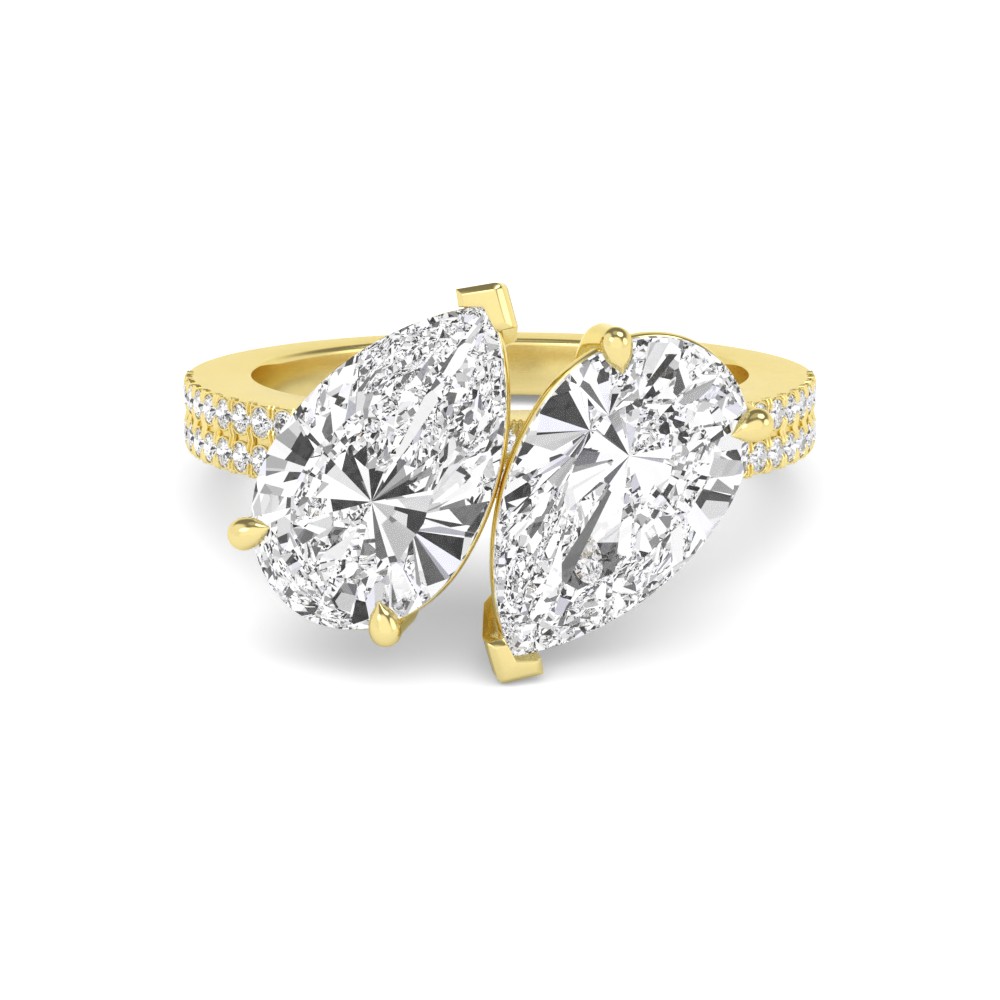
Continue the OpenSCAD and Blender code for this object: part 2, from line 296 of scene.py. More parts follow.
def mix(
    tree: bpy.types.NodeTree, share: bpy.types.NodeSocket, low: object, high: object
) -> bpy.types.NodeSocket:
    """Blends two values.

    Args:
        tree: Tree that gets the node.
        share: Socket that is 0 for low and 1 for high.
        low: A socket or a number.
        high: A socket or a number.

    Returns:
        The blend.
    """
    node = tree.nodes.new("ShaderNodeMix")
    node.data_type = "FLOAT"
    tree.links.new(share, node.inputs["Factor"])
    for socket, value in ((node.inputs["A"], low), (node.inputs["B"], high)):
        if isinstance(value, bpy.types.NodeSocket):
            tree.links.new(value, socket)
        else:
            socket.default_value = value
    return node.outputs["Result"]


def tinted(
    tree: bpy.types.NodeTree, share: bpy.types.NodeSocket, low: Sequence[float], high: Sequence[float]
) -> bpy.types.NodeSocket:
    """Blends two colours.

    Args:
        tree: Tree that gets the node.
        share: Socket that is 0 for low and 1 for high.
        low: A colour.
        high: Another colour.

    Returns:
        The blend.
    """
    node = tree.nodes.new("ShaderNodeMix")
    node.data_type = "RGBA"
    tree.links.new(share, node.inputs["Factor"])
    for socket, colour in zip((s for s in node.inputs if s.type == "RGBA"), (low, high)):
        socket.default_value = (*colour, 1)
    return next(s for s in node.outputs if s.type == "RGBA")


@dataclass(frozen=True)
class Grain:
    """Fine grain of a worked surface: a node group that all finishes share."""

    name: str = "surface_grain"
    cloud_share: float = 0.04
    detail: float = 2.0
    spread: tuple[float, float] = (0.3, 0.7)
    inputs: tuple[tuple[str, float], ...] = (
        ("Grains per m", 12000.0),
        ("Least", 0.1),
        ("Most", 0.2),
        ("Height", 0.0),
    )

    def group(self) -> bpy.types.NodeTree:
        """Makes the node group the first time, and finds it again later.

        Returns:
            The node group.
        """
        known = bpy.data.node_groups.get(self.name)
        if known:
            return known
        tree = bpy.data.node_groups.new(self.name, "ShaderNodeTree")
        for title, value in self.inputs:
            socket = tree.interface.new_socket(title, in_out="INPUT", socket_type="NodeSocketFloat")
            socket.default_value = value
        for title, kind in (("Roughness", "Float"), ("Tone", "Float"), ("Normal", "Vector")):
            tree.interface.new_socket(title, in_out="OUTPUT", socket_type=f"NodeSocket{kind}")
        given = tree.nodes.new("NodeGroupInput").outputs
        result = tree.nodes.new("NodeGroupOutput").inputs
        spot = tree.nodes.new("ShaderNodeTexCoord").outputs["Object"]
        fine = self.noise(tree, spot, given["Grains per m"])
        clouds_per_m = math_node(tree, "MULTIPLY", given["Grains per m"], self.cloud_share)
        slow = self.noise(tree, spot, clouds_per_m)
        span = math_node(tree, "SUBTRACT", given["Most"], given["Least"])
        rough = math_node(tree, "ADD", given["Least"], math_node(tree, "MULTIPLY", fine, span))
        bump = tree.nodes.new("ShaderNodeBump")
        bump.inputs["Strength"].default_value = 1.0
        tree.links.new(given["Height"], bump.inputs["Distance"])
        tree.links.new(fine, bump.inputs["Height"])
        tree.links.new(rough, result["Roughness"])
        both = math_node(tree, "ADD", slow, fine)
        tree.links.new(math_node(tree, "MULTIPLY", both, 0.5), result["Tone"])
        tree.links.new(bump.outputs["Normal"], result["Normal"])
        return tree

    def noise(
        self, tree: bpy.types.NodeTree, spot: bpy.types.NodeSocket, scale: bpy.types.NodeSocket
    ) -> bpy.types.NodeSocket:
        """Adds noise that has its value spread over 0 to 1.

        Args:
            tree: Tree that gets the nodes.
            spot: Socket with the place.
            scale: Socket with the grains per metre.

        Returns:
            The noise.
        """
        node = tree.nodes.new("ShaderNodeTexNoise")
        tree.links.new(spot, node.inputs["Vector"])
        tree.links.new(scale, node.inputs["Scale"])
        node.inputs["Detail"].default_value = self.detail
        ramp = tree.nodes.new("ShaderNodeMapRange")
        tree.links.new(node.outputs["Fac"], ramp.inputs["Value"])
        ramp.inputs["From Min"].default_value = self.spread[0]
        ramp.inputs["From Max"].default_value = self.spread[1]
        return ramp.outputs["Result"]


@dataclass(frozen=True)
class Finish:
    """What every finish has: a name, its grain and how much its colour wanders."""

    name: str
    grains_per_mm: float
    roughness: tuple[float, float]
    grain_um: float

    def start(self) -> tuple[bpy.types.Material, bpy.types.Node, bpy.types.Node]:
        """Makes what every finish starts from.

        Returns:
            A new material, its shader, and its grain node.
        """
        material = bpy.data.materials.new(self.name)
        material.use_nodes = True
        tree = material.node_tree
        grain = tree.nodes.new("ShaderNodeGroup")
        grain.node_tree = Grain().group()
        grain.inputs["Grains per m"].default_value = self.grains_per_mm / MM
        grain.inputs["Least"].default_value = self.roughness[0]
        grain.inputs["Most"].default_value = self.roughness[1]
        grain.inputs["Height"].default_value = self.grain_um * MICRON
        return material, tree.nodes["Principled BSDF"], grain


@dataclass(frozen=True)
class Diamond(Finish):
    """Clear cut stone: it bends light as diamond does, and its body colour hardly wanders."""

    name: str = "diamond"
    grains_per_mm: float = 1.5
    roughness: tuple[float, float] = (0.0, 0.0)
    grain_um: float = 0.0
    clear: tuple[float, float, float] = (1.0, 1.0, 1.0)
    cool: tuple[float, float, float] = (0.98, 0.982, 1.0)
    ior: float = 2.417
    sheen: float = 0.2

    def material(self) -> bpy.types.Material:
        """Makes the finish.

        Returns:
            The material.
        """
        material, shader, grain = self.start()
        colour = tinted(material.node_tree, grain.outputs["Tone"], self.clear, self.cool)
        material.node_tree.links.new(colour, shader.inputs["Base Color"])
        shader.inputs["Roughness"].default_value = 0.0
        shader.inputs["IOR"].default_value = self.ior
        shader.inputs["Specular Tint"].default_value = (self.sheen, self.sheen, self.sheen, 1)
        shader.inputs["Transmission Weight"].default_value = 1.0
        return material


@dataclass(frozen=True)
class Gold(Finish):
    """Yellow gold: bright polish on the settings, an even satin on the band."""

    name: str = "gold_polished"
    grains_per_mm: float = 9.0
    roughness: tuple[float, float] = (0.08, 0.14)
    grain_um: float = 0.05
    colour: tuple[float, float, float] = (0.83, 0.69, 0.31)
    deep: tuple[float, float, float] = (0.8, 0.655, 0.28)
    edge_tint: tuple[float, float, float] = (0.97, 0.9, 0.58)

    def material(self) -> bpy.types.Material:
        """Makes the finish.

        Returns:
            The material.
        """
        material, shader, grain = self.start()
        tree = material.node_tree
        colour = tinted(tree, grain.outputs["Tone"], self.colour, self.deep)
        tree.links.new(colour, shader.inputs["Base Color"])
        tree.links.new(grain.outputs["Roughness"], shader.inputs["Roughness"])
        tree.links.new(grain.outputs["Normal"], shader.inputs["Normal"])
        shader.inputs["Metallic"].default_value = 1.0
        shader.inputs["Specular Tint"].default_value = (*self.edge_tint, 1)
        return material


# Cut stones


def cut_facet(bm: bmesh.types.BMesh, point: Vector, normal: Vector) -> None:
    """Grinds a flat facet on a convex stone and closes it.

    Args:
        bm: The stone.
        point: A point on the facet.
        normal: Outward direction; what lies beyond the facet is ground away.
    """
    found = bmesh.ops.bisect_plane(
        bm,
        geom=bm.verts[:] + bm.edges[:] + bm.faces[:],
        dist=ON_PLANE,
        plane_co=point,
        plane_no=normal,
        clear_outer=True,
    )
    rim = [e for e in found["geom_cut"] if isinstance(e, bmesh.types.BMEdge) and e.is_boundary]
    if rim:
        bmesh.ops.edgeloop_fill(bm, edges=rim)


@dataclass(frozen=True)
class PearOutline:
    """Outline of a pear stone: half an ellipse, and two arcs that meet in the point."""

    length: float = 11.24
    width: float = 6.94
    roundness: float = 1.17
    samples: int = 720

    @property
    def half_w(self) -> float:
        """Half the width."""
        return self.width / 2

    @property
    def round_l(self) -> float:
        """Length of the round end, from the widest place."""
        return self.half_w * self.roundness

    @property
    def point_l(self) -> float:
        """Length from the widest place to the point."""
        return self.length - self.round_l

    @property
    def flank_r(self) -> float:
        """Radius of the flanks' arcs."""
        return (self.point_l**2 + self.half_w**2) / (2 * self.half_w)

    def reach(self, degrees: float, grow: float = 0.0) -> float:
        """Measures the distance from the widest place's middle to the outline.

        Args:
            degrees: Direction, counter-clockwise from the point.
            grow: How far the outline is grown.

        Returns:
            The distance.
        """
        a = math.radians(degrees)
        if math.cos(a) >= 0:
            off = self.flank_r - self.half_w
            c = off * abs(math.sin(a))
            return math.sqrt(c * c + (self.flank_r + grow) ** 2 - off * off) - c
        across = math.sin(a) / (self.half_w + grow)
        along = math.cos(a) / (self.round_l + grow)
        return 1 / math.hypot(across, along)

    def spot(self, degrees: float, share: float = 1.0, grow: float = 0.0) -> Vector:
        """Returns a point on the outline, or at a share of its distance."""
        a = math.radians(degrees)
        return share * self.reach(degrees, grow) * Vector((-math.sin(a), math.cos(a), 0))

    def points(self, count: int, grow: float = 0.0) -> list[Vector]:
        """Returns the outline's points, counter-clockwise from the stone's point."""
        return [self.spot(360 * i / count, 1, grow) for i in range(count)]

    def support(self, degrees: float) -> float:
        """Measures how far the outline reaches in a direction, square to it.

        Args:
            degrees: Direction, counter-clockwise from the point.

        Returns:
            The distance.
        """
        a = math.radians(degrees)
        way = Vector((-math.sin(a), math.cos(a), 0))
        return max(p.dot(way) for p in self.points(self.samples))


@dataclass(frozen=True)
class PearStone:
    """A pear brilliant, cut from a blank as a cutter does it, facet by facet."""

    outline: PearOutline = field(default_factory=PearOutline)
    crown_h: float = 0.95
    girdle_t: float = 0.2
    pavilion_h: float = 2.9
    table_share: float = 0.58
    grow: float = 0.0
    girdle_n: int = 96
    lower_mains: tuple[float, ...] = (0, 54, 61, 69, 78, 89, 103, 120, 138, 159)
    upper_mains: tuple[float, ...] = (0, 56, 74, 92, 122, 151)
    lower_halves_deg: float = 2.2
    upper_halves_deg: float = 6.0

    def all_round(self, one_side: Sequence[float]) -> list[float]:
        """Returns the directions of one side's facets, the round end's and the other side's."""
        return [*one_side, 180.0, *[360 - a for a in reversed(one_side[1:])]]

    def quarters(self, angles: Sequence[float]) -> list[float]:
        """Returns the directions a quarter and three quarters of the way to each next one."""
        closed = [*angles, angles[0] + 360]
        return [a + (b - a) * share for a, b in zip(closed, closed[1:]) for share in (0.25, 0.75)]

    def facet(
        self,
        bm: bmesh.types.BMesh,
        azimuth: float,
        base_z: float,
        rise: float,
        run: float,
        extra: float,
    ) -> None:
        """Cuts one facet that starts at the girdle.

        Args:
            bm: The stone.
            azimuth: Direction that the facet faces.
            base_z: Height of the girdle's edge where the facet starts.
            rise: Height, or depth below 0, that the facet gains over run.
            run: Distance inwards over which it gains that height.
            extra: Degrees by which it is steeper than rise over run.
        """
        a = math.radians(azimuth)
        way = Vector((-math.sin(a), math.cos(a), 0))
        slope = math.atan2(abs(rise), run) + math.radians(extra)
        up = math.copysign(math.cos(slope), rise)
        normal = way * math.sin(slope) + Vector((0, 0, up))
        start = way * self.outline.support(azimuth) + Vector((0, 0, base_z))
        cut_facet(bm, start + normal * self.grow, normal)

    def blank(self) -> bmesh.types.BMesh:
        """Makes the uncut stone: the outline as a prism.

        Returns:
            The shape.
        """
        bm = bmesh.new()
        low = -self.girdle_t / 2 - self.pavilion_h - self.grow
        high = self.girdle_t / 2 + self.crown_h + self.grow
        outline = self.outline.points(self.girdle_n, self.grow)
        rim = [bm.verts.new(p + Vector((0, 0, low))) for p in outline]
        floor = bm.faces.new(rim)
        top = bmesh.ops.extrude_face_region(bm, geom=[floor])
        lifted = [v for v in top["geom"] if isinstance(v, bmesh.types.BMVert)]
        bmesh.ops.translate(bm, verts=lifted, vec=(0, 0, high - low))
        bmesh.ops.recalc_face_normals(bm, faces=bm.faces)
        return bm

    def cut(self) -> bmesh.types.BMesh:
        """Cuts the stone, facet by facet.

        Returns:
            The finished stone, table up.
        """
        bm = self.blank()
        half_t = self.girdle_t / 2
        lower = self.all_round(self.lower_mains)
        upper = self.all_round(self.upper_mains)
        tiers = (
            (lower, -1, 0.0),
            (self.quarters(lower), -1, self.lower_halves_deg),
            (upper, 1, 0.0),
            (self.quarters(upper), 1, self.upper_halves_deg),
        )
        for azimuths, side, extra in tiers:
            for azimuth in azimuths:
                run = self.outline.support(azimuth)
                if side > 0:
                    inwards = run * (1 - self.table_share)
                    self.facet(bm, azimuth, half_t, self.crown_h, inwards, extra)
                else:
                    self.facet(bm, azimuth, -half_t, -self.pavilion_h, run, extra)
        return bm


@dataclass(frozen=True)
class Head:
    """Where the pear stones sit over the band."""

    stone_at: tuple[float, float, float] = (-4.08, -14.75, -0.65)
    stone_turn: float = 30.9
    stone_yaw: float = 13.3
    stone_pitch: float = 7.6

    def left(self) -> Matrix:
        """Places the left stone.

        Returns:
            The matrix from its frame to the ring's frame.
        """
        return (
            Matrix.Translation(Vector(self.stone_at))
            @ turn("Z", -self.stone_yaw)
            @ turn("X", -self.stone_pitch)
            @ turn("Y", self.stone_turn)
            @ turn("X", 90)
        )

    def right(self) -> Matrix:
        """Returns the matrix from the right stone's frame: the left one turned half round."""
        return turn("Y", 180) @ self.left()


# Band


def smooth_step(low: float, high: float, value: float) -> float:
    """Returns 0 up to low, 1 from high on, and an even curve between."""
    t = min(max((value - low) / (high - low), 0.0), 1.0)
    return t * t * (3 - 2 * t)


@dataclass(frozen=True)
class Shank:
    """The band: flat sides that lean together towards the back, and a soft inner edge there."""

    finger_r: float = 8.45
    outer_r: float = 10.625
    shift: float = 0.275
    half_w_head: float = 1.23
    half_w_back: float = 1.03
    head_y: float = -10.9
    back_y: float = 10.35
    inner_round: float = 0.24
    inner_round_front: float = 0.05
    round_from: tuple[float, float] = (100, 118)
    outer_round: float = 0.05
    groove_half: float = 0.4
    groove_depth: float = 0.1
    groove_floor: float = 0.08
    groove_end: float = 92.0
    groove_fade: float = 0.8
    round_steps: int = 4
    steps: int = 288
    flat_from: float = 0.999

    @property
    def mid_r(self) -> float:
        """Distance of the section's middle from the finger's axis."""
        return (self.finger_r + self.outer_r) / 2

    def half_width(self, y: float) -> float:
        """Returns half the band's width at a place between head and back."""
        share = (y - self.head_y) / (self.back_y - self.head_y)
        return self.half_w_head + share * (self.half_w_back - self.half_w_head)

    def outer_at(self, a: float) -> float:
        """Returns the outer face's distance from the finger's axis, at an angle from the head."""
        across = self.shift * math.sin(a)
        return self.shift * math.cos(a) + math.sqrt(self.outer_r**2 - across**2)

    def spot(self, degrees: float, z: float, rise: float) -> Vector:
        """Finds a point over the outer face.

        Args:
            degrees: Angle from the head.
            z: Height.
            rise: Height over the face.

        Returns:
            The point.
        """
        a = math.radians(degrees)
        r = self.outer_r + rise
        return Vector((r * math.sin(a), -self.shift - r * math.cos(a), z))

    def profile(self) -> list[tuple[float, float]]:
        """Draws the section.

        Returns:
            Its points as distance from the finger's axis and height.
        """
        w = self.half_w_head
        quarter = [math.radians(90 * i / self.round_steps) for i in range(self.round_steps + 1)]
        r_in = self.inner_round
        r_out = self.outer_round
        half = []
        for t in quarter:
            half.append((self.finger_r + r_in * (1 - math.cos(t)), w - r_in * (1 - math.sin(t))))
        for t in quarter:
            half.append((self.outer_r - r_out * (1 - math.sin(t)), w - r_out * (1 - math.cos(t))))
        half.append((self.outer_r, self.groove_half))
        half.append((self.outer_r - self.groove_depth, self.groove_floor))
        return half + [(r, -z) for r, z in reversed(half)]

    def fitted(self, p: Vector) -> Vector:
        """Moves a point of the evenly turned band to where the real band has it.

        Args:
            p: The point.

        Returns:
            Its new place.
        """
        r = math.hypot(p.x, p.y)
        a = math.atan2(p.x, -p.y)
        turned = abs(math.degrees(a))
        share = 1.0
        if r < self.mid_r:
            least = self.inner_round_front / self.inner_round
            share = least + (1 - least) * smooth_step(*self.round_from, turned)
            r = self.finger_r + (r - self.finger_r) * share
        else:
            off = r - self.outer_r
            if abs(p.z) < self.groove_half:
                low = self.groove_end - self.groove_fade
                off *= 1 - smooth_step(low, self.groove_end + self.groove_fade, turned)
            r = self.outer_at(a) + off
        y = -r * math.cos(a)
        z = p.z
        if abs(z) > self.groove_half:
            z = math.copysign(self.half_width(y) + (abs(z) - self.half_w_head) * share, z)
        return Vector((r * math.sin(a), y, z))

    def band(self) -> bmesh.types.BMesh:
        """Turns the band.

        Returns:
            The band before its seats are cut.
        """
        bm = bmesh.new()
        verts = [bm.verts.new((0, -r, z)) for r, z in self.profile()]
        edges = [bm.edges.new(pair) for pair in zip(verts, verts[1:] + verts[:1])]
        bmesh.ops.spin(
            bm,
            geom=verts + edges,
            cent=(0, 0, 0),
            axis=(0, 0, 1),
            angle=math.tau,
            steps=self.steps,
            use_merge=True,
        )
        bmesh.ops.remove_doubles(bm, verts=bm.verts, dist=WELD)
        for vert in bm.verts:
            vert.co = self.fitted(vert.co)
        return bm

    def keep_crisp(self, bm: bmesh.types.BMesh) -> None:
        """Keeps the edges crisp where the seats break through the flat sides.

        Args:
            bm: The band.
        """
        for edge in bm.edges:
            flat = {abs(face.normal.z) > self.flat_from for face in edge.link_faces}
            if len(flat) == 2 and edge.verts[0].co.xy.length > self.mid_r:
                edge.smooth = False


@dataclass(frozen=True)
class Pave:
    """Two rows of small stones, the seats that are cut for them and the bars that hold them.

    The track of a bridge, a bar between the rows, has columns height and rise over the band. The
    track of a finger, a bar at the band's edge, has distance in from the edge and rise.
    """

    shank: Shank = field(default_factory=Shank)
    stone_d: float = 1.0
    pitch: float = 1.081
    rows: tuple[float, float] = (-0.64, 0.64)
    last: int = 15
    proud: float = 0.1
    crown_h: float = 0.136
    girdle_t: float = 0.048
    pavilion_h: float = 0.407
    table_share: float = 0.58
    star_share: float = 0.975
    girdle_n: int = 32
    main_deg: float = 33.7
    upper_half_deg: float = 41.5
    star_deg: float = 24.0
    pavilion_deg: float = 40.0
    lower_half_deg: float = 42.0
    saddle_at: float = 16.5
    saddle_half: float = 10.3
    seat_r: float = 0.55
    seat_tip_r: float = 0.04
    seat_top: float = 0.5
    seat_gap: float = 0.01
    seat_sides: int = 24
    bar_r: float = 0.068
    bar_start: float = 0.7
    bar_end: float = 0.6
    bar_apart: float = 0.105
    bar_sides: int = 8
    bridge: tuple[tuple[float, float], ...] = (
        (0.44, 0.0),
        (0.33, 0.03),
        (0.0, -0.06),
        (-0.33, 0.03),
        (-0.44, 0.0),
    )
    finger: tuple[tuple[float, float], ...] = (
        (0.0, -0.2),
        (-0.01, -0.03),
        (0.1, 0.02),
        (0.27, 0.025),
        (0.4, 0.0),
    )
    lip_r: float = 0.035
    lip_out: float = 0.03
    lip_from: float = 38.0
    lip_steps: int = 8

    @property
    def step(self) -> float:
        """Degrees from one stone to the next."""
        return math.degrees(self.pitch / self.shank.outer_r)

    def is_set(self, place: float) -> bool:
        """Returns whether a stone sits at a place, and not a saddle."""
        clear = abs(abs(place * self.step) - self.saddle_at) >= self.saddle_half
        return clear and abs(place) <= self.last

    def places(self) -> list[Matrix]:
        """Places the small stones.

        Returns:
            A matrix to the middle of each stone's girdle, its top outwards.
        """
        girdle_at = self.shank.outer_r + self.proud - self.crown_h - self.girdle_t / 2
        return [
            Matrix.Translation((0, -self.shank.shift, row))
            @ turn("Z", k * self.step)
            @ Matrix.Translation((0, -girdle_at, 0))
            @ turn("X", 90)
            for row in self.rows
            for k in range(-self.last, self.last + 1)
            if self.is_set(k)
        ]

    def brilliant(self) -> bpy.types.Mesh:
        """Cuts one round brilliant, facet by facet.

        Returns:
            Its mesh.
        """
        bm = bmesh.new()
        r = self.stone_d / 2
        half_t = self.girdle_t / 2
        high = half_t + self.crown_h
        bmesh.ops.create_cone(
            bm,
            cap_ends=True,
            segments=self.girdle_n,
            radius1=r,
            radius2=r,
            depth=2 * self.pavilion_h + 2 * high,
        )
        cut_facet(bm, Vector((0, 0, high)), Vector((0, 0, 1)))
        for azimuth in range(0, 360, 45):
            self.grind(bm, azimuth, r, half_t, self.main_deg)
            self.grind(bm, azimuth, r, -half_t, -self.pavilion_deg)
            self.grind(bm, azimuth + 22.5, r * self.table_share * self.star_share, high, self.star_deg)
        for azimuth in range(0, 720, 45):
            self.grind(bm, azimuth / 2 + 11.25, r, half_t, self.upper_half_deg)
            self.grind(bm, azimuth / 2 + 11.25, r, -half_t, -self.lower_half_deg)
        mesh = bpy.data.meshes.new("small_brilliant")
        bm.to_mesh(mesh)
        bm.free()
        return mesh

    def grind(self, bm: bmesh.types.BMesh, azimuth: float, r: float, z: float, slope: float) -> None:
        """Cuts one facet.

        Args:
            bm: The stone.
            azimuth: Direction that the facet faces.
            r: Distance from the middle of a point on it.
            z: That point's height.
            slope: Its slope in degrees, below 0 on the underside.
        """
        a = math.radians(azimuth)
        tilt = math.radians(abs(slope))
        way = Vector((math.cos(a), math.sin(a), 0))
        up = math.copysign(math.cos(tilt), slope)
        cut_facet(bm, way * r + Vector((0, 0, z)), way * math.sin(tilt) + Vector((0, 0, up)))

    def stones(self) -> bmesh.types.BMesh:
        """Sets a brilliant at each place.

        Returns:
            All the small stones.
        """
        mesh = self.brilliant()
        bm = bmesh.new()
        for place in self.places():
            known = len(bm.verts)
            bm.from_mesh(mesh)
            bm.verts.ensure_lookup_table()
            bmesh.ops.transform(bm, matrix=place, verts=bm.verts[known:])
        bpy.data.meshes.remove(mesh)
        return bm

    def seats(self, first: int) -> bmesh.types.BMesh:
        """Makes the cutters of every second seat: a cone and the room above it.

        Neighbouring seats run into each other, so they are cut one after the other.

        Args:
            first: 0 or 1, the place that is cut first.

        Returns:
            The cutters.
        """
        bm = bmesh.new()
        low = -self.girdle_t / 2 - self.seat_gap
        turns = [math.tau * (k + 0.5) / self.seat_sides for k in range(self.seat_sides)]
        levels = (
            (self.seat_tip_r, low - self.pavilion_h),
            (self.seat_r, low),
            (self.seat_r, self.seat_top),
        )
        for place in self.places()[first::2]:
            loops = []
            for r, z in levels:
                loops.append([place @ Vector((r * math.cos(t), r * math.sin(t), z)) for t in turns])
            skin(bm, loops)
        return bm

    def joints(self) -> list[float]:
        """Returns the angles between neighbouring stones, where the bars stand."""
        half = [k + 0.5 for k in range(-self.last - 1, self.last + 1)]
        return [j * self.step for j in half if self.is_set(j - 0.5) or self.is_set(j + 0.5)]

    def bars(self) -> bmesh.types.BMesh:
        """Makes the bars: pairs that join the rows, and pairs at the band's edges.

        Returns:
            The bars, and the lips at the stones' edges.
        """
        bm = bmesh.new()
        aside = math.degrees(self.bar_apart / self.shank.outer_r)
        for joint in self.joints():
            for a in (joint - aside, joint + aside):
                w = self.shank.half_width(self.shank.spot(a, 0, 0).y)
                upper = [(w - inwards, rise) for inwards, rise in self.finger]
                lower = [(-z, rise) for z, rise in upper]
                across = Vector((math.cos(math.radians(a)), math.sin(math.radians(a)), 0))
                for track in (self.bridge, upper, lower):
                    path = [self.shank.spot(a, z, rise) for z, rise in track]
                    radii = [self.bar_r] * len(path)
                    radii[0] *= self.bar_start
                    radii[-1] *= self.bar_end
                    bar(bm, path, radii, across, self.bar_sides)
        for place in self.places():
            for outward in (90, -90):
                self.lip(bm, place, outward)
        return bm

    def lip(self, bm: bmesh.types.BMesh, place: Matrix, outward: float) -> None:
        """Adds a thin arc that runs along a stone's edge.

        Args:
            bm: The bmesh that gets it.
            place: Matrix of the stone.
            outward: Direction of the arc's middle: 90 or -90, towards a side of the band.
        """
        r = self.stone_d / 2 + self.lip_out
        z = self.crown_h + self.girdle_t / 2 - self.proud
        swept = 180 - 2 * self.lip_from
        start = self.lip_from + outward - 90
        turns = [math.radians(start + swept * i / self.lip_steps) for i in range(self.lip_steps + 1)]
        path = [place @ Vector((r * math.cos(t), r * math.sin(t), z)) for t in turns]
        out = (place.to_3x3() @ Vector((0, 0, 1))).normalized()
        bar(bm, path, [self.lip_r] * len(path), out, self.bar_sides)


# Settings


